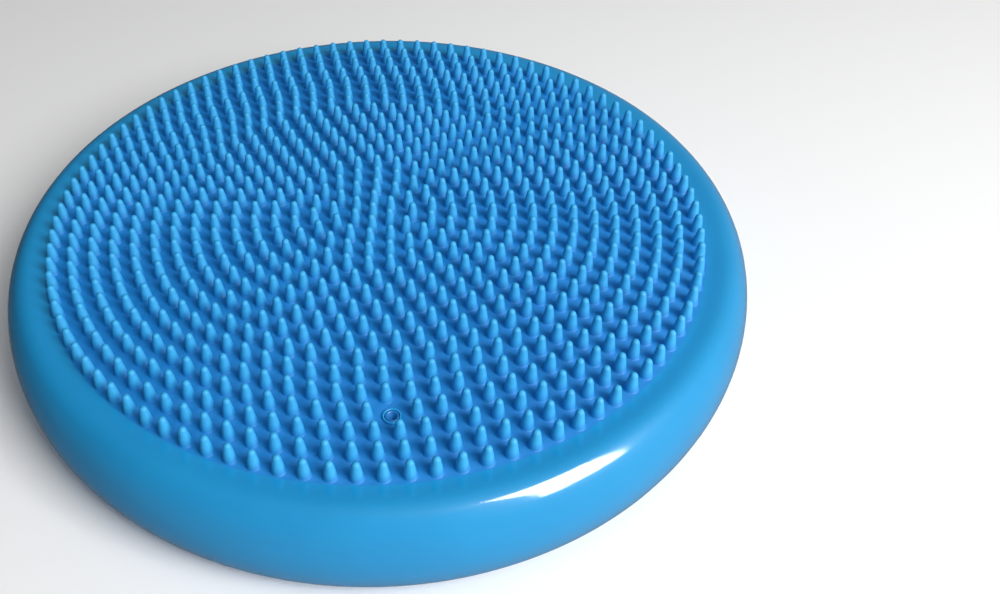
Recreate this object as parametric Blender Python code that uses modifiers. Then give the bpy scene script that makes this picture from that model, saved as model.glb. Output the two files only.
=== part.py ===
"""Air-filled balance disc: a hollow moulded shell with a field of nubs, and a needle valve.

Metres, +Z up.  The disc rests on z = 0 with its axis on Z, the nubs point up, and the
valve is towards -Y.
"""
import math

import bmesh
import bpy
from mathutils import Matrix

# Disc
DISC_RADIUS = 0.165
WALL = 0.0035
SEGMENTS = 48
# The rim's section is tangent arcs, from the equator to the crown: (radius, angle at its end)
RIM_ARCS = ((0.0385, 20.0), (0.0205, 45.0), (0.0105, 90.0))
OUTER_ARC_STEP = 15.0
CAVITY_ARC_STEP = 30.0

# Upper face
FIELD_RADIUS = 0.1443
FIELD_DROP = 0.0013
SHOULDER = 0.0028

# Nubs: one in the centre, and 6 * k on ring k
NUB_PITCH = 0.00883
NUB_RINGS = 16
NUB_HEIGHT = 0.0087
NUB_BASE_RADIUS = 0.0034
NUB_SIDES = 4
NUB_ROOT = 0.0006
NUB_FIRST_ANGLE = 25.0
# How far each ring is turned from the first angle, as a share of the gap between its nubs
NUB_RING_TURNS = (0, -0.05, -0.05, 0, 0.45, 0, 0.5, 0, 0.45, -0.1, 0, 0.15, 0.45, -0.2, 0, 0.25)

# Underside: a smooth flat centre with a ring bead, and a band that is recessed for low grip
GRIP_DEPTH = 0.0008
GRIP_INNER_RADIUS = 0.054
CENTRE_FACE_RADIUS = 0.050
BEAD_RADIUS = 0.0332
BEAD_STEP = 0.0011
BEAD_DEPTH = 0.0007

# Valve: it stands in the place of one nub of ring VALVE_RING
VALVE_RING = 13
VALVE_NUB = 53
GAP = 0.0003
COLLAR_RADIUS = 0.0036
COLLAR_RISE = 0.0008
FLANGE_RADIUS = 0.0095
FLANGE_THICKNESS = 0.0016
SLEEVE_RADIUS = 0.0034
SLEEVE_DEPTH = 0.0135
BORE_RADIUS = 0.0022
COUNTERBORE_RADIUS = 0.0029
COUNTERBORE_DEPTH = 0.0022
VALVE_SEGMENTS = 32

# Valve core: a rubber bung that is pushed into the seat, with a funnel that guides the needle
CORE_SINK = 0.0002
CORE_HEAD_RADIUS = 0.00265
CORE_HEAD_THICKNESS = 0.0017
CORE_STEM_RADIUS = 0.00195
CORE_TIP_RADIUS = 0.0015
CORE_LENGTH = 0.0120
FUNNEL_RADIUS = 0.0016
FUNNEL_FLOOR_RADIUS = 0.0006
FUNNEL_DEPTH = 0.0030

MERGE = 0.00001
SMOOTH_ANGLE = 35.0


def rim_point(angle):
    """Offset (inwards, upwards) from the equator to where the rim's normal rises by angle."""
    inwards = 0.0
    upwards = 0.0
    start = 0.0
    for radius, end in RIM_ARCS:
        stop = min(angle, end)
        if stop > start:
            inwards += radius * (math.cos(math.radians(start)) - math.cos(math.radians(stop)))
            upwards += radius * (math.sin(math.radians(stop)) - math.sin(math.radians(start)))
        start = end
    return inwards, upwards


CROWN_INWARDS, EQUATOR_HEIGHT = rim_point(90.0)
CROWN_RADIUS = DISC_RADIUS - CROWN_INWARDS
BODY_HEIGHT = 2.0 * EQUATOR_HEIGHT
FIELD_HEIGHT = BODY_HEIGHT - FIELD_DROP


def rim_section(step, inset=0.0):
    """(radius, height) points from the top crown round the equator to the bottom crown."""
    count = round(90.0 / step)
    points = []
    for index in range(-count, count + 1):
        angle = -index * step
        inwards, upwards = rim_point(abs(angle))
        turn = math.radians(angle)
        radius = DISC_RADIUS - inwards - inset * math.cos(turn)
        height = EQUATOR_HEIGHT + math.copysign(upwards, angle) - inset * math.sin(turn)
        points.append((radius, height))
    return points


def outer_profile():
    """The shell's outside, from the axis at the top to the axis at the bottom."""
    upper = [(0.0, FIELD_HEIGHT), (FIELD_RADIUS, FIELD_HEIGHT)]
    upper.append((FIELD_RADIUS + SHOULDER, FIELD_HEIGHT + 0.75 * FIELD_DROP))
    lower = [
        (FIELD_RADIUS + SHOULDER, 0.0),
        (FIELD_RADIUS, GRIP_DEPTH),
        (GRIP_INNER_RADIUS, GRIP_DEPTH),
        (CENTRE_FACE_RADIUS, 0.0),
    ]
    for side in (2, 1, 0, -1, -2):
        recess = BEAD_DEPTH if abs(side) == 1 else 0.0
        lower.append((BEAD_RADIUS + side * BEAD_STEP, recess))
    lower.append((0.0, 0.0))
    return upper + rim_section(OUTER_ARC_STEP) + lower


def cavity_profile():
    """The air space inside the shell."""
    ceiling = FIELD_HEIGHT - WALL
    floor = GRIP_DEPTH + WALL
    rim = rim_section(CAVITY_ARC_STEP, WALL)[1:-1]
    top = [(0.0, ceiling), (FIELD_RADIUS, ceiling)]
    bottom = [(FIELD_RADIUS, floor), (0.0, floor)]
    return top + rim + bottom


def collection(name):
    group = bpy.data.collections.new(name)
    bpy.context.scene.collection.children.link(group)
    return group


def material(name, colour, roughness):
    finish = bpy.data.materials.new(name)
    finish.use_nodes = True
    shader = finish.node_tree.nodes["Principled BSDF"]
    shader.inputs["Base Color"].default_value = (*colour, 1.0)
    shader.inputs["Roughness"].default_value = roughness
    shader.inputs["Metallic"].default_value = 0.0
    finish.diffuse_color = (*colour, 1.0)
    return finish


def turned(name, profile, segments, group, closed=False):
    """A profile of (radius, height) points turned about Z; flat ends become single faces."""
    mesh = bpy.data.meshes.new(name)
    edges = [(index, index + 1) for index in range(len(profile) - 1)]
    if closed:
        edges.append((len(profile) - 1, 0))
    mesh.from_pydata([(radius, 0.0, height) for radius, height in profile], edges, [])
    obj = bpy.data.objects.new(name, mesh)
    group.objects.link(obj)
    screw = obj.modifiers.new("Turn", "SCREW")
    screw.axis = "Z"
    screw.steps = segments
    screw.render_steps = segments
    screw.use_merge_vertices = True
    screw.merge_threshold = MERGE
    flats = obj.modifiers.new("Flats", "DECIMATE")
    flats.decimate_type = "DISSOLVE"
    flats.angle_limit = math.radians(0.1)
    return obj


def as_cutter(obj):
    obj.hide_render = True
    obj.display_type = "WIRE"
    return obj


def boolean(obj, cutter, operation):
    step = obj.modifiers.new(operation.title(), "BOOLEAN")
    step.operation = operation
    step.solver = "EXACT"
    step.object = cutter


def finish_mesh(obj, finish):
    """Apply the modifiers and shade the round faces smooth."""
    bpy.context.view_layer.update()
    evaluated = obj.evaluated_get(bpy.context.evaluated_depsgraph_get())
    mesh = bpy.data.meshes.new_from_object(evaluated)
    mesh.name = obj.name
    obj.modifiers.clear()
    obj.data = mesh
    mesh.materials.clear()
    mesh.materials.append(finish)
    mesh.shade_smooth()
    mesh.set_sharp_from_angle(angle=math.radians(SMOOTH_ANGLE))


def nub_angle(ring, index):
    gap = 60.0 / ring
    return math.radians(NUB_FIRST_ANGLE + (index + NUB_RING_TURNS[ring - 1]) * gap)


def nub_places():
    """(radius, angle) of every nub; the valve takes one nub's place."""
    places = [(0.0, 0.0)]
    for ring in range(1, NUB_RINGS + 1):
        for index in range(6 * ring):
            if (ring, index) != (VALVE_RING, VALVE_NUB):
                places.append((ring * NUB_PITCH, nub_angle(ring, index)))
    return places


def nub_field(group):
    """All the nubs as pointed pegs, flats towards the rim, with their roots inside the wall."""
    whole = NUB_HEIGHT + NUB_ROOT
    flats = Matrix.Rotation(math.pi / NUB_SIDES, 4, "Z")
    mesh = bpy.data.meshes.new("nub_field")
    form = bmesh.new()
    for radius, angle in nub_places():
        turn = Matrix.Rotation(angle, 4, "Z")
        middle = Matrix.Translation((radius, 0.0, FIELD_HEIGHT - NUB_ROOT + whole / 2.0))
        bmesh.ops.create_cone(
            form,
            cap_ends=True,
            segments=NUB_SIDES,
            radius1=NUB_BASE_RADIUS * whole / NUB_HEIGHT,
            radius2=0.0,
            depth=whole,
            matrix=turn @ middle @ flats,
        )
    form.to_mesh(mesh)
    form.free()
    obj = bpy.data.objects.new("nub_field", mesh)
    group.objects.link(obj)
    return as_cutter(obj)


def valve_place():
    radius = VALVE_RING * NUB_PITCH
    angle = nub_angle(VALVE_RING, VALVE_NUB)
    return radius * math.cos(angle), radius * math.sin(angle), FIELD_HEIGHT


def valve_hole(group):
    x, y, z = valve_place()
    depth = 2.0 * WALL
    bpy.ops.mesh.primitive_cylinder_add(
        vertices=VALVE_SEGMENTS, radius=COLLAR_RADIUS + GAP, depth=depth, location=(x, y, z - WALL / 2.0)
    )
    obj = bpy.context.object
    obj.name = "valve_hole"
    for owner in list(obj.users_collection):
        owner.objects.unlink(obj)
    group.objects.link(obj)
    return as_cutter(obj)


def make_shell(parts, cutters, finish):
    """One hollow skin with the nubs moulded in, open only at the valve."""
    shell = turned("shell", outer_profile(), SEGMENTS, parts)
    cavity = as_cutter(turned("cavity", cavity_profile(), SEGMENTS, cutters))
    boolean(shell, nub_field(cutters), "UNION")
    boolean(shell, cavity, "DIFFERENCE")
    boolean(shell, valve_hole(cutters), "DIFFERENCE")
    finish_mesh(shell, finish)


def make_valve_seat(parts, finish):
    """A sleeve with a collar just proud of the skin and a flange bonded under the wall."""
    flange_top = -WALL - GAP
    flange_bottom = flange_top - FLANGE_THICKNESS
    profile = [
        (COUNTERBORE_RADIUS, COLLAR_RISE),
        (COLLAR_RADIUS, COLLAR_RISE),
        (COLLAR_RADIUS, flange_top),
        (FLANGE_RADIUS, flange_top),
        (FLANGE_RADIUS, flange_bottom),
        (SLEEVE_RADIUS, flange_bottom),
        (SLEEVE_RADIUS, -SLEEVE_DEPTH),
        (BORE_RADIUS, -SLEEVE_DEPTH),
        (BORE_RADIUS, COLLAR_RISE - COUNTERBORE_DEPTH),
        (COUNTERBORE_RADIUS, COLLAR_RISE - COUNTERBORE_DEPTH),
    ]
    seat = turned("valve_seat", profile, VALVE_SEGMENTS, parts, closed=True)
    finish_mesh(seat, finish)
    seat.location = valve_place()


def make_valve_core(parts, finish):
    """The bung that seals the valve; its origin is on the axis that it is pulled out along."""
    top = COLLAR_RISE - CORE_SINK
    profile = [
        (0.0, top - FUNNEL_DEPTH),
        (FUNNEL_FLOOR_RADIUS, top - FUNNEL_DEPTH),
        (FUNNEL_RADIUS, top),
        (CORE_HEAD_RADIUS, top),
        (CORE_HEAD_RADIUS, top - CORE_HEAD_THICKNESS),
        (CORE_STEM_RADIUS, top - CORE_HEAD_THICKNESS),
        (CORE_TIP_RADIUS, top - CORE_LENGTH),
        (0.0, top - CORE_LENGTH),
    ]
    core = turned("valve_core", profile, VALVE_SEGMENTS, parts)
    finish_mesh(core, finish)
    core.location = valve_place()


def main():
    for obj in list(bpy.data.objects):
        bpy.data.objects.remove(obj, do_unlink=True)
    parts = collection("balance_disc")
    cutters = collection("cutters")
    make_shell(parts, cutters, material("blue_vinyl", (0.012, 0.235, 0.680), 0.25))
    make_valve_seat(parts, material("blue_vinyl_insert", (0.010, 0.210, 0.620), 0.35))
    make_valve_core(parts, material("blue_rubber", (0.008, 0.180, 0.560), 0.45))


main()
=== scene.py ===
"""An air-filled balance disc: soft blue vinyl with a nubbed face, a bumped underside and a needle valve."""
import math

import bpy
from mathutils import Euler, Matrix, Vector
from mathutils.geometry import delaunay_2d_cdt


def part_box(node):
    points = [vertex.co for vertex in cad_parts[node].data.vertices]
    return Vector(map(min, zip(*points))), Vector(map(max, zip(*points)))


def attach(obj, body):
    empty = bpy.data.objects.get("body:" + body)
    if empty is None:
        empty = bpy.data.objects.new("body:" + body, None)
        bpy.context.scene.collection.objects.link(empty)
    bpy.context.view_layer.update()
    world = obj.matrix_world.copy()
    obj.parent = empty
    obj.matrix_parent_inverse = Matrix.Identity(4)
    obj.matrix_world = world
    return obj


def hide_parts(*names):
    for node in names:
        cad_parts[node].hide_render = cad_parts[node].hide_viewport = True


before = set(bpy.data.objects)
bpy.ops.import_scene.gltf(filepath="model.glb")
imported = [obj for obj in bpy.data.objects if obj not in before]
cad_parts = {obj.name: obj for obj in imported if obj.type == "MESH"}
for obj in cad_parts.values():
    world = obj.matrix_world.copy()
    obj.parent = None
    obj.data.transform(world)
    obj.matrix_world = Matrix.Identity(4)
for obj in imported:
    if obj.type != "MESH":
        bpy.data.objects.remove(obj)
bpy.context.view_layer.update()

# The frame's own sizes
SHELL_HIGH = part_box("shell")[1]
SEAT_LOW, SEAT_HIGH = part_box("valve_seat")
CORE_LOW, CORE_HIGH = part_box("valve_core")
DISC_RADIUS = SHELL_HIGH.x
TIP_HEIGHT = SHELL_HIGH.z
VALVE_CENTRE = (SEAT_LOW + SEAT_HIGH) / 2.0
COLLAR_RISE = 0.0008
FIELD_HEIGHT = SEAT_HIGH.z - COLLAR_RISE
NUB_HEIGHT = TIP_HEIGHT - FIELD_HEIGHT
WALL = 0.0035

# Rim: tangent arcs from the equator down to the underside, as (radius, angle at its end)
LOWER_ARCS = ((0.0385, 20.0), (0.0205, 45.0), (0.0105, 90.0))
# The upper crown turns in more tightly, so that it runs softly down into the field
UPPER_ARCS = ((0.0385, 20.0), (0.0205, 45.0), (0.0085, 90.0))
RIM_STEP = 5.0
CAVITY_STEP = 15.0
FIELD_RADIUS = 0.1446
SHOULDER_RINGS = 7
SEGMENTS = 256

# Nubs: one in the centre, and 6 * k on ring k
NUB_RINGS = 16
NUB_PITCH = 0.00883
NUB_FIRST_ANGLE = 25.0
# How far each ring is turned from the first angle, as a share of the gap between its nubs
NUB_RING_TURNS = (0, -0.05, -0.05, 0, 0.45, 0, 0.5, 0, 0.45, -0.1, 0, 0.15, 0.45, -0.2, 0, 0.25)
NUB_SEGMENTS = 12
NUB_TIP_RADIUS = 0.00155
NUB_FOOT_RADIUS = 0.0026
NUB_FILLET = 0.0005
NUB_TIP_ANGLE = 62.0
VALVE_RING = 13
VALVE_NUB = 53

# Underside
GRIP_DEPTH = 0.0008
GRIP_OUTER_RADIUS = 0.1446
GRIP_INNER_RADIUS = 0.0545
CENTRE_FACE_RADIUS = 0.0485
BUMP_PITCH = 0.01155
BUMP_RINGS = range(5, 13)
BUMP_RADIUS = 0.0026
BUMP_SEGMENTS = 8
# The bump's rings, as (share of its radius, share of its height)
BUMP_PROFILE = ((1.0, 0.0), (0.78, 0.22), (0.42, 0.80))
# Two grooves side by side round the centre, with the ring bead between them
BEAD_RADIUS = 0.0332
BEAD_HALF_WIDTH = 0.00176
BEAD_DEPTH = 0.0007
BEAD_LEVELS = (0.0, 0.5, 1.0, 0.5, 0.0, 0.5, 1.0, 0.5, 0.0)

# Valve
VALVE_SEGMENTS = 48
HOLE_RADIUS = 0.00365
HOLE_LIP = 0.0003
COLLAR_RADIUS = 0.0036
COUNTERBORE_RADIUS = 0.0029
COUNTERBORE_DEPTH = 0.0022
BORE_RADIUS = 0.0022
SLEEVE_RADIUS = 0.0034
FLANGE_GAP = 0.0003
FLANGE_THICKNESS = 0.0016
SEAT_ROUNDING = 0.00025
FUNNEL_RADIUS = 0.0019
FUNNEL_LIP = 0.0002
FUNNEL_DEPTH = 0.0030
FUNNEL_END_RADIUS = 0.0006
HEAD_THICKNESS = 0.0017
STEM_RADIUS = 0.00195
STEM_END_RADIUS = 0.0015
RIB_SHARES = (0.35, 0.6, 0.85)
RIB_TAPER = 0.0003
RIB_RISE = 0.0009
RIB_STEP = 0.0002
CORE_ROUNDING = 0.0002

# Colours, each as the two shades that its cloudy pigment drifts between
SKIN_SHADES = ((0.008, 0.258, 0.545), (0.007, 0.241, 0.517))
# The field's deeper blue is painted shade between the nubs, and the nubs' paler blue is painted light on
# them; the two blend by height up each nub
FIELD_PAINTED_SHADE = ((0.001, 0.195, 0.535), (0.001, 0.181, 0.508))
NUB_PAINTED_LIGHT = ((0.022, 0.355, 0.700), (0.020, 0.338, 0.672))
SEAT_SHADES = ((0.014, 0.300, 0.640), (0.012, 0.280, 0.610))
# The bung's deeper blue is painted shade: it darkens the bottom of the valve's hole
BUNG_PAINTED_SHADE = ((0.004, 0.150, 0.430), (0.004, 0.138, 0.400))
# Height up a nub, as a share of its own, where the painted shade at its foot has faded into the painted
# light of its pale colour
PAINTED_SHADE_FADE = 0.45

# Finishes: the least and the most roughness of each, and the broad veil over the skin's gloss
SKIN_ROUGHNESS = (0.08, 0.12)
FIELD_ROUGHNESS = (0.60, 0.70)
SEAT_ROUGHNESS = (0.30, 0.38)
RUBBER_ROUGHNESS = (0.42, 0.52)
SKIN_VEIL = 0.25
VEIL_ROUGHNESS = 0.42
FIELD_SPECULAR = 0.4
VINYL_IOR = 1.53
# Noises, as (scale, detail)
CLOUD_NOISE = (28.0, 3.0)
GLOSS_NOISE = (60.0, 4.0)
DIMPLE_NOISE = (160.0, 1.0)
GRAIN_NOISE = (1400.0, 2.0)
DIMPLE_DEPTH = 0.00002
GRAIN_DEPTH = 0.00001
# Sockets of a mix node that carry colours
MIX_FIRST = 6
MIX_SECOND = 7
MIX_RESULT = 2

# Floor
FLOOR_HALF = 6.0
FLOOR_COLOUR = (0.86, 0.86, 0.86)
FLOOR_ROUGHNESS = 0.7

# Lights: name, azimuth, elevation, distance, size, power, and whether it lights the matt
# surfaces and shows in the glossy ones
LIGHTS = (
    ("key", -46.0, 41.0, 1.5, (0.75, 0.75), 23.5, True, False),
    ("overhead", -46.0, 72.0, 1.8, (1.4, 1.4), 5.5, True, False),
    ("softbox", -40.5, 36.0, 1.5, (0.62, 1.02), 54.0, False, True),
)

# Camera
LENS = 35.24
SENSOR = 36.0
LENS_SHIFT = (0.122, 0.003)
CAMERA_PLACE = (0.0003, -0.3409, 0.3268)
CAMERA_DROP = 44.3
CAMERA_ROLL = -2.75

# Strength of the backdrop as a light, from the side away from the lights to the side where
# they are, and as it is seen
WORLD_DIM = 0.04
WORLD_BRIGHT = 0.42
WORLD_BRIGHT_SIDE = (0.85, -0.53, 0.0)
WORLD_SEEN = 0.9


class Skin:
    """Collects one mesh ring by ring.  Rings run anticlockwise seen from above."""

    def __init__(self):
        self.points = []
        self.faces = []

    def ring(self, radius, height, count, centre=(0.0, 0.0), start=0.0):
        first = len(self.points)
        for index in range(count):
            angle = start + 2.0 * math.pi * index / count
            x = centre[0] + radius * math.cos(angle)
            y = centre[1] + radius * math.sin(angle)
            self.points.append((x, y, height))
        return list(range(first, first + count))

    def bridge(self, before, after):
        """Quads that face outwards when the rings go from the axis out and down."""
        for index, corner in enumerate(before):
            other = (index + 1) % len(before)
            self.faces.append((corner, after[index], after[other], before[other]))

    def cap(self, ring, point, first):
        """A fan from a ring to a point; first says that the point comes before the ring."""
        self.points.append(point)
        tip = len(self.points) - 1
        for index, corner in enumerate(ring):
            other = ring[(index + 1) % len(ring)]
            self.faces.append((tip, corner, other) if first else (other, corner, tip))

    def sweep(self, rings):
        for before, after in zip(rings, rings[1:]):
            self.bridge(before, after)

    def fill(self, outline, holes, upwards):
        """Triangles on a flat face between its outline and the rings that stand on it."""
        loops = [outline, *holes]
        members = [corner for loop in loops for corner in loop]
        owners = [number for number, loop in enumerate(loops) for _ in loop]
        edges = []
        start = 0
        for loop in loops:
            count = len(loop)
            edges += [(start + index, start + (index + 1) % count) for index in range(count)]
            start += count
        flat = [Vector(self.points[corner][:2]) for corner in members]
        _, _, triangles, origins, _, _ = delaunay_2d_cdt(flat, edges, [], 1, 1e-9)
        for triangle in triangles:
            inputs = [origins[corner][0] for corner in triangle]
            loops_met = {owners[corner] for corner in inputs}
            if len(loops_met) == 1 and 0 not in loops_met:
                continue
            a, b, c = (flat[corner] for corner in inputs)
            turn = (b - a).cross(c - a)
            corners = [members[corner] for corner in inputs]
            if (turn > 0.0) != upwards:
                corners.reverse()
            self.faces.append(tuple(corners))

    def build(self, name):
        mesh = bpy.data.meshes.new(name)
        mesh.from_pydata(self.points, [], self.faces)
        mesh.shade_smooth()
        mesh.update()
        obj = bpy.data.objects.new(name, mesh)
        bpy.context.scene.collection.objects.link(obj)
        return obj


def rim_point(angle, arcs):
    """Offset (inwards, upwards) from the equator to where the rim's normal rises by angle."""
    inwards = 0.0
    upwards = 0.0
    start = 0.0
    for radius, end in arcs:
        stop = min(angle, end)
        if stop > start:
            inwards += radius * (math.cos(math.radians(start)) - math.cos(math.radians(stop)))
            upwards += radius * (math.sin(math.radians(stop)) - math.sin(math.radians(start)))
        start = end
    return inwards, upwards


EQUATOR_HEIGHT = rim_point(90.0, LOWER_ARCS)[1]


def rim_section(step, inset=0.0):
    """(radius, height) points from the top crown round the equator to the bottom crown."""
    count = round(90.0 / step)
    points = []
    for index in range(-count, count + 1):
        angle = -index * step
        inwards, upwards = rim_point(abs(angle), UPPER_ARCS if angle > 0.0 else LOWER_ARCS)
        turn = math.radians(angle)
        radius = DISC_RADIUS - inwards - inset * math.cos(turn)
        height = EQUATOR_HEIGHT + math.copysign(upwards, angle) - inset * math.sin(turn)
        points.append((radius, height))
    return points


def slope(start, end, steps):
    """Points of a soft S-shaped slope between two (radius, height) points, without its ends."""
    points = []
    for index in range(1, steps):
        share = index / steps
        eased = 0.5 - 0.5 * math.cos(math.pi * share)
        radius = start[0] + (end[0] - start[0]) * share
        points.append((radius, start[1] + (end[1] - start[1]) * eased))
    return points


def arc(centre, radius, first, last, steps):
    """(radius, height) points of an arc; the angles are in degrees above the horizontal."""
    points = []
    for index in range(steps + 1):
        angle = math.radians(first + (last - first) * index / steps)
        points.append((centre[0] + radius * math.cos(angle), centre[1] + radius * math.sin(angle)))
    return points


def nub_places():
    """(x, y, angle) of every nub; the valve takes one nub's place."""
    places = [(0.0, 0.0, 0.0)]
    for ring in range(1, NUB_RINGS + 1):
        for index in range(6 * ring):
            if (ring, index) == (VALVE_RING, VALVE_NUB):
                continue
            gap = 60.0 / ring
            angle = math.radians(NUB_FIRST_ANGLE + (index + NUB_RING_TURNS[ring - 1]) * gap)
            radius = ring * NUB_PITCH
            places.append((radius * math.cos(angle), radius * math.sin(angle), angle))
    return places


def bump_places():
    places = []
    for ring in BUMP_RINGS:
        for index in range(6 * ring):
            angle = 2.0 * math.pi * (index + 0.5 * (ring % 2)) / (6 * ring)
            radius = ring * BUMP_PITCH
            places.append((radius * math.cos(angle), radius * math.sin(angle), angle))
    return places


def nub_profile():
    """(radius, height over the field) from just below the tip to the foot of the fillet."""
    tip_centre = (0.0, NUB_HEIGHT - NUB_TIP_RADIUS)
    foot = (NUB_FOOT_RADIUS, NUB_FILLET)
    lean = math.degrees(math.atan2(NUB_FOOT_RADIUS - NUB_TIP_RADIUS, tip_centre[1] - NUB_FILLET))
    tip = arc(tip_centre, NUB_TIP_RADIUS, NUB_TIP_ANGLE, lean, 2)
    fillet = arc((foot[0] + NUB_FILLET, foot[1]), NUB_FILLET, 180.0 + lean, 270.0, 2)
    return tip + fillet


def add_nub(skin, place, profile):
    """One nub; its last ring lies on the field and is returned."""
    x, y, angle = place
    rings = [
        skin.ring(radius, FIELD_HEIGHT + height, NUB_SEGMENTS, (x, y), angle)
        for radius, height in profile
    ]
    skin.cap(rings[0], (x, y, FIELD_HEIGHT + NUB_HEIGHT), True)
    skin.sweep(rings)
    return rings[-1]


def add_bump(skin, place):
    """One low bump under the disc; its first ring lies on the grip band and is returned."""
    x, y, angle = place
    rings = []
    for share, drop in BUMP_PROFILE:
        height = GRIP_DEPTH * (1.0 - drop)
        rings.append(skin.ring(BUMP_RADIUS * share, height, BUMP_SEGMENTS, (x, y), angle))
    skin.sweep(rings)
    skin.cap(rings[-1], (x, y, 0.0), False)
    return rings[0]


def valve_wall(skin):
    """The hole through the upper wall: its ring on the ceiling of the cavity, and on the field."""
    centre = VALVE_CENTRE[:2]
    profile = [(HOLE_RADIUS, -WALL)]
    profile += arc((HOLE_RADIUS + HOLE_LIP, -HOLE_LIP), HOLE_LIP, 180.0, 90.0, 4)
    rings = [
        skin.ring(radius, FIELD_HEIGHT + height, VALVE_SEGMENTS, centre) for radius, height in profile
    ]
    skin.sweep(rings)
    return rings[0], rings[-1]


def make_skin():
    """The whole moulded skin as one closed mesh, hollow and open only at the valve."""
    skin = Skin()
    deep, lip = valve_wall(skin)
    profile = nub_profile()
    feet = [add_nub(skin, place, profile) for place in nub_places()]

    field_edge = (FIELD_RADIUS, FIELD_HEIGHT)
    rim = rim_section(RIM_STEP)
    path = [field_edge, *slope(field_edge, rim[0], SHOULDER_RINGS), *rim]
    grip_edge = (GRIP_OUTER_RADIUS, GRIP_DEPTH)
    path += [*slope(path[-1], grip_edge, SHOULDER_RINGS), grip_edge]
    rings = [skin.ring(radius, height, SEGMENTS) for radius, height in path]
    skin.sweep(rings)
    skin.fill(rings[0], [*feet, lip], True)

    bumps = [add_bump(skin, place) for place in bump_places()]
    inner_edge = (GRIP_INNER_RADIUS, GRIP_DEPTH)
    centre_edge = (CENTRE_FACE_RADIUS, 0.0)
    path = [inner_edge, *slope(inner_edge, centre_edge, SHOULDER_RINGS), centre_edge]
    middle = len(BEAD_LEVELS) // 2
    for index, level in enumerate(BEAD_LEVELS):
        radius = BEAD_RADIUS + (1.0 - index / middle) * BEAD_HALF_WIDTH
        path.append((radius, BEAD_DEPTH * level))
    inner = [skin.ring(radius, height, SEGMENTS) for radius, height in path]
    skin.sweep(inner)
    skin.cap(inner[-1], (0.0, 0.0, 0.0), False)
    skin.fill(rings[-1], [*bumps, inner[0]], False)

    ceiling = FIELD_HEIGHT - WALL
    floor = GRIP_DEPTH + WALL
    wall = [(FIELD_RADIUS, floor), *rim_section(CAVITY_STEP, WALL)[::-1], (FIELD_RADIUS, ceiling)]
    cavity = [skin.ring(radius, height, SEGMENTS // 2) for radius, height in wall]
    skin.cap(cavity[0], (0.0, 0.0, floor), True)
    skin.sweep(cavity)
    skin.fill(cavity[-1], [deep], False)
    return skin.build("skin")


def soften(points, radius, steps=3):
    """A profile with its inner corners rounded to the radius, or less where a side is short."""
    rounded = [points[0]]
    for before, corner, after in zip(points, points[1:], points[2:]):
        corner = Vector(corner)
        back = Vector(before) - corner
        on = Vector(after) - corner
        turn = back.angle(on)
        cut = min(radius / math.tan(turn / 2.0), 0.45 * back.length, 0.45 * on.length)
        start = corner + back.normalized() * cut
        end = corner + on.normalized() * cut
        for index in range(steps + 1):
            share = index / steps
            near = start.lerp(corner, share)
            far = corner.lerp(end, share)
            rounded.append(tuple(near.lerp(far, share)))
    rounded.append(points[-1])
    return rounded


def turned_piece(name, profile, base_height, closed):
    """A piece turned about the valve's axis from (radius, height) points, down its outer side."""
    skin = Skin()
    centre = VALVE_CENTRE[:2]
    capped = profile if closed else profile[1:-1]
    rings = [
        skin.ring(radius, base_height + height, VALVE_SEGMENTS, centre) for radius, height in capped
    ]
    skin.sweep(rings)
    if closed:
        skin.bridge(rings[-1], rings[0])
    else:
        skin.cap(rings[0], (*centre, base_height + profile[0][1]), True)
        skin.cap(rings[-1], (*centre, base_height + profile[-1][1]), False)
    return skin.build(name)


def make_seat():
    """The moulded seat: a low collar round the bore, and a flange under the skin."""
    top = COLLAR_RISE
    flange_radius = (SEAT_HIGH.x - SEAT_LOW.x) / 2.0
    bottom = SEAT_LOW.z - FIELD_HEIGHT
    flange_top = -WALL - FLANGE_GAP
    flange_bottom = flange_top - FLANGE_THICKNESS
    ledge = top - COUNTERBORE_DEPTH
    start = (COUNTERBORE_RADIUS, (top + ledge) / 2.0)
    corners = [
        start,
        (COUNTERBORE_RADIUS, top),
        (COLLAR_RADIUS, top),
        (COLLAR_RADIUS, flange_top),
        (flange_radius, flange_top),
        (flange_radius, flange_bottom),
        (SLEEVE_RADIUS, flange_bottom),
        (SLEEVE_RADIUS, bottom),
        (BORE_RADIUS, bottom),
        (BORE_RADIUS, ledge),
        (COUNTERBORE_RADIUS, ledge),
        start,
    ]
    profile = soften(corners, SEAT_ROUNDING)[:-1]
    seat = turned_piece("valve_collar", profile, FIELD_HEIGHT, True)
    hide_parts("valve_seat")
    return seat


def make_core():
    """The rubber bung: a lipped head with a needle funnel, and a ribbed stem."""
    top = CORE_HIGH.z - FIELD_HEIGHT
    bottom = CORE_LOW.z - FIELD_HEIGHT
    head = (CORE_HIGH.x - CORE_LOW.x) / 2.0
    neck = top - HEAD_THICKNESS
    corners = [
        (0.0, top - FUNNEL_DEPTH),
        (FUNNEL_END_RADIUS, top - FUNNEL_DEPTH),
        (FUNNEL_RADIUS, top - FUNNEL_LIP),
        (FUNNEL_RADIUS + FUNNEL_LIP, top),
        (head, top),
        (head, neck),
        (STEM_RADIUS, neck),
    ]
    for share in RIB_SHARES:
        height = neck + (bottom - neck) * share
        radius = STEM_RADIUS - RIB_TAPER * share
        corners += [
            (radius - RIB_STEP, height + RIB_RISE),
            (radius, height),
            (radius - RIB_TAPER, height - RIB_STEP),
        ]
    corners += [(STEM_END_RADIUS, bottom), (0.0, bottom)]
    core = turned_piece("valve_bung", soften(corners, CORE_ROUNDING), FIELD_HEIGHT, False)
    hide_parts("valve_core")
    return core


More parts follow.
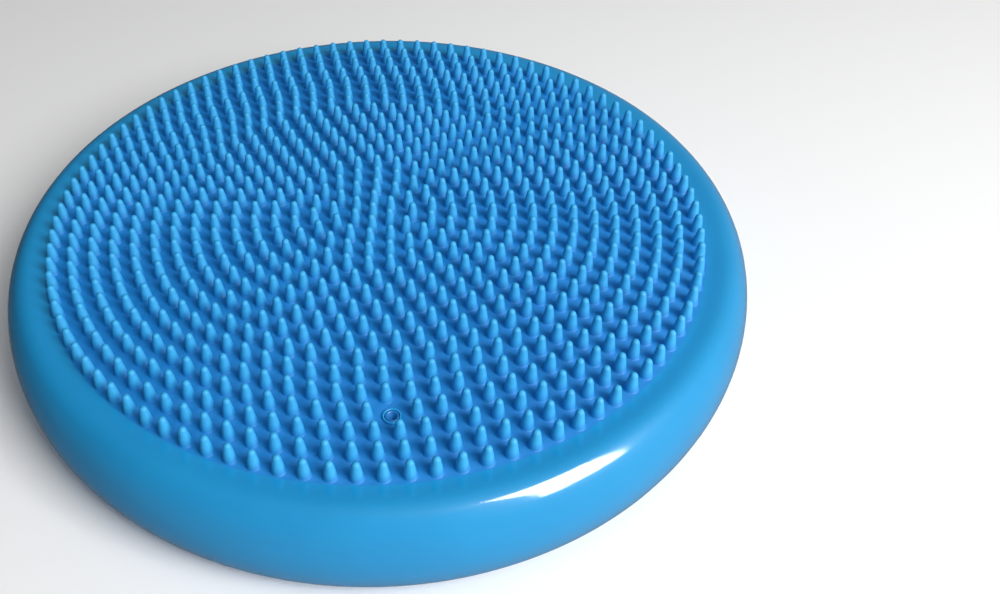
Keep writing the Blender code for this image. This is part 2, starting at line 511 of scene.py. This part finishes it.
class Nodes:
    """A short way to write a material's node tree."""

    def __init__(self, name):
        self.material = bpy.data.materials.new(name)
        self.material.use_nodes = True
        self.tree = self.material.node_tree
        self.shader = self.tree.nodes["Principled BSDF"]

    def add(self, kind, **settings):
        node = self.tree.nodes.new(kind)
        for key, value in settings.items():
            setattr(node, key, value)
        return node

    def link(self, source, target):
        self.tree.links.new(source, target)

    def noise(self, scale, detail):
        place = self.add("ShaderNodeTexCoord")
        noise = self.add("ShaderNodeTexNoise")
        noise.inputs["Scale"].default_value = scale
        noise.inputs["Detail"].default_value = detail
        self.link(place.outputs["Object"], noise.inputs["Vector"])
        return noise.outputs["Fac"]

    def range(self, value, low, high, start=0.3, end=0.7):
        node = self.add("ShaderNodeMapRange")
        self.link(value, node.inputs["Value"])
        node.inputs["From Min"].default_value = start
        node.inputs["From Max"].default_value = end
        node.inputs["To Min"].default_value = low
        node.inputs["To Max"].default_value = high
        return node.outputs["Result"]

    def blend(self, value, first, second):
        node = self.add("ShaderNodeMix", data_type="RGBA")
        self.link(value, node.inputs["Factor"])
        node.inputs[MIX_FIRST].default_value = (*first, 1.0)
        node.inputs[MIX_SECOND].default_value = (*second, 1.0)
        return node.outputs[MIX_RESULT]

    def bump(self, value, depth, before=None):
        node = self.add("ShaderNodeBump")
        node.inputs["Strength"].default_value = 1.0
        node.inputs["Distance"].default_value = depth
        self.link(value, node.inputs["Height"])
        if before is not None:
            self.link(before, node.inputs["Normal"])
        return node.outputs["Normal"]


def pigment(nodes, shades):
    """A colour that drifts slowly between two shades."""
    cloud = nodes.range(nodes.noise(*CLOUD_NOISE), 0.0, 1.0)
    return nodes.blend(cloud, *shades)


def vinyl(name, shades, rough, veil=0.0):
    """Soft glossy vinyl: cloudy pigment, a fine moulding grain, uneven gloss and a faint broad veil."""
    nodes = Nodes(name)
    shader = nodes.shader
    nodes.link(pigment(nodes, shades), shader.inputs["Base Color"])
    nodes.link(nodes.range(nodes.noise(*GLOSS_NOISE), *rough), shader.inputs["Roughness"])
    soft = nodes.bump(nodes.noise(*DIMPLE_NOISE), DIMPLE_DEPTH)
    fine = nodes.bump(nodes.noise(*GRAIN_NOISE), GRAIN_DEPTH, soft)
    nodes.link(fine, shader.inputs["Normal"])
    shader.inputs["IOR"].default_value = VINYL_IOR
    shader.inputs["Coat Weight"].default_value = veil
    shader.inputs["Coat Roughness"].default_value = VEIL_ROUGHNESS
    return nodes.material


def field_vinyl_painted_shade(name):
    """The field's satin vinyl, with painted shade: darker low down between the nubs, and paler up each nub
    as painted light.
    """
    nodes = Nodes(name)
    shader = nodes.shader
    place = nodes.add("ShaderNodeTexCoord")
    axes = nodes.add("ShaderNodeSeparateXYZ")
    nodes.link(place.outputs["Object"], axes.inputs["Vector"])
    # Painted shade: the colour runs by height from the dark field colour up to the pale, painted-light nub
    # colour
    painted_shade_top = FIELD_HEIGHT + PAINTED_SHADE_FADE * NUB_HEIGHT
    rise = nodes.range(axes.outputs["Z"], 0.0, 1.0, FIELD_HEIGHT, painted_shade_top)
    mix = nodes.add("ShaderNodeMix", data_type="RGBA")
    nodes.link(rise, mix.inputs["Factor"])
    nodes.link(pigment(nodes, FIELD_PAINTED_SHADE), mix.inputs[MIX_FIRST])
    nodes.link(pigment(nodes, NUB_PAINTED_LIGHT), mix.inputs[MIX_SECOND])
    nodes.link(mix.outputs[MIX_RESULT], shader.inputs["Base Color"])
    nodes.link(nodes.range(nodes.noise(*GLOSS_NOISE), *FIELD_ROUGHNESS), shader.inputs["Roughness"])
    nodes.link(nodes.bump(nodes.noise(*GRAIN_NOISE), GRAIN_DEPTH), shader.inputs["Normal"])
    shader.inputs["IOR"].default_value = VINYL_IOR
    shader.inputs["Specular IOR Level"].default_value = FIELD_SPECULAR
    return nodes.material


def paint(obj, material):
    obj.data.materials.clear()
    obj.data.materials.append(material)


def paint_field(skin, material):
    """Gives the nubs and the face that they stand on a finish of their own, which carries painted shade
    between the nubs and painted light up them.
    """
    skin.data.materials.append(material)
    for face in skin.data.polygons:
        middle = face.center
        if middle.z > FIELD_HEIGHT - HOLE_LIP and middle.xy.length < FIELD_RADIUS:
            face.material_index = 1


def make_floor():
    half = FLOOR_HALF
    mesh = bpy.data.meshes.new("floor")
    corners = [(-half, -half, 0.0), (half, -half, 0.0), (half, half, 0.0), (-half, half, 0.0)]
    mesh.from_pydata(corners, [], [(0, 1, 2, 3)])
    floor = bpy.data.objects.new("floor", mesh)
    bpy.context.scene.collection.objects.link(floor)
    nodes = Nodes("pale_floor")
    nodes.shader.inputs["Base Color"].default_value = (*FLOOR_COLOUR, 1.0)
    nodes.shader.inputs["Roughness"].default_value = FLOOR_ROUGHNESS
    mesh.materials.append(nodes.material)
    floor.visible_glossy = False


def make_light(name, azimuth, elevation, distance, size, power, diffuse, glossy):
    """A softbox aimed at the disc; azimuth is anticlockwise from +X, seen from above."""
    data = bpy.data.lights.new(name, "AREA")
    data.shape = "RECTANGLE"
    data.size, data.size_y = size
    data.energy = power
    light = bpy.data.objects.new(name, data)
    bpy.context.scene.collection.objects.link(light)
    turn = math.radians(azimuth)
    rise = math.radians(elevation)
    out = Vector((math.cos(turn) * math.cos(rise), math.sin(turn) * math.cos(rise), math.sin(rise)))
    light.location = out * distance
    light.rotation_mode = "QUATERNION"
    light.rotation_quaternion = out.to_track_quat("Z", "Y")
    light.visible_diffuse = diffuse
    light.visible_glossy = glossy


def make_world():
    """A pale backdrop that lights the disc dimly, and more from the side where the lights are."""
    world = bpy.data.worlds.new("studio")
    world.use_nodes = True
    tree = world.node_tree
    place = tree.nodes.new("ShaderNodeTexCoord")
    side = tree.nodes.new("ShaderNodeVectorMath")
    side.operation = "DOT_PRODUCT"
    side.inputs[1].default_value = WORLD_BRIGHT_SIDE
    glow = tree.nodes.new("ShaderNodeMapRange")
    glow.inputs["From Min"].default_value = -1.0
    glow.inputs["From Max"].default_value = 1.0
    glow.inputs["To Min"].default_value = WORLD_DIM
    glow.inputs["To Max"].default_value = WORLD_BRIGHT
    seen = tree.nodes.new("ShaderNodeLightPath")
    strength = tree.nodes.new("ShaderNodeMapRange")
    strength.inputs["To Max"].default_value = WORLD_SEEN
    background = tree.nodes["Background"]
    background.inputs["Color"].default_value = (1.0, 1.0, 1.0, 1.0)
    tree.links.new(place.outputs["Generated"], side.inputs[0])
    tree.links.new(side.outputs["Value"], glow.inputs["Value"])
    tree.links.new(glow.outputs["Result"], strength.inputs["To Min"])
    tree.links.new(seen.outputs["Is Camera Ray"], strength.inputs["Value"])
    tree.links.new(strength.outputs["Result"], background.inputs["Strength"])
    bpy.context.scene.world = world


def make_camera():
    data = bpy.data.cameras.new("camera")
    data.lens = LENS
    data.sensor_width = SENSOR
    data.shift_x, data.shift_y = LENS_SHIFT
    data.clip_start = 0.01
    camera = bpy.data.objects.new("camera", data)
    bpy.context.scene.collection.objects.link(camera)
    tilt = Euler((math.radians(90.0 - CAMERA_DROP), 0.0, 0.0)).to_matrix().to_4x4()
    roll = Matrix.Rotation(math.radians(CAMERA_ROLL), 4, "Z")
    camera.matrix_world = Matrix.Translation(CAMERA_PLACE) @ tilt @ roll
    bpy.context.scene.camera = camera


def main():
    skin = make_skin()
    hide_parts("shell")
    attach(skin, "disc")
    paint(skin, vinyl("skin_vinyl", SKIN_SHADES, SKIN_ROUGHNESS, SKIN_VEIL))
    # The field's finish paints shade low between the nubs and light up them
    paint_field(skin, field_vinyl_painted_shade("field_vinyl_painted_shade"))

    seat = make_seat()
    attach(seat, "disc")
    paint(seat, vinyl("seat_vinyl", SEAT_SHADES, SEAT_ROUGHNESS))

    core = make_core()
    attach(core, "core")
    # The bung's darker colour paints the shade down in the valve's hole
    paint(core, vinyl("bung_rubber_painted_shade", BUNG_PAINTED_SHADE, RUBBER_ROUGHNESS))

    make_floor()
    make_world()
    for light in LIGHTS:
        make_light(*light)
    make_camera()
    bpy.context.scene.view_settings.view_transform = "Standard"


main()
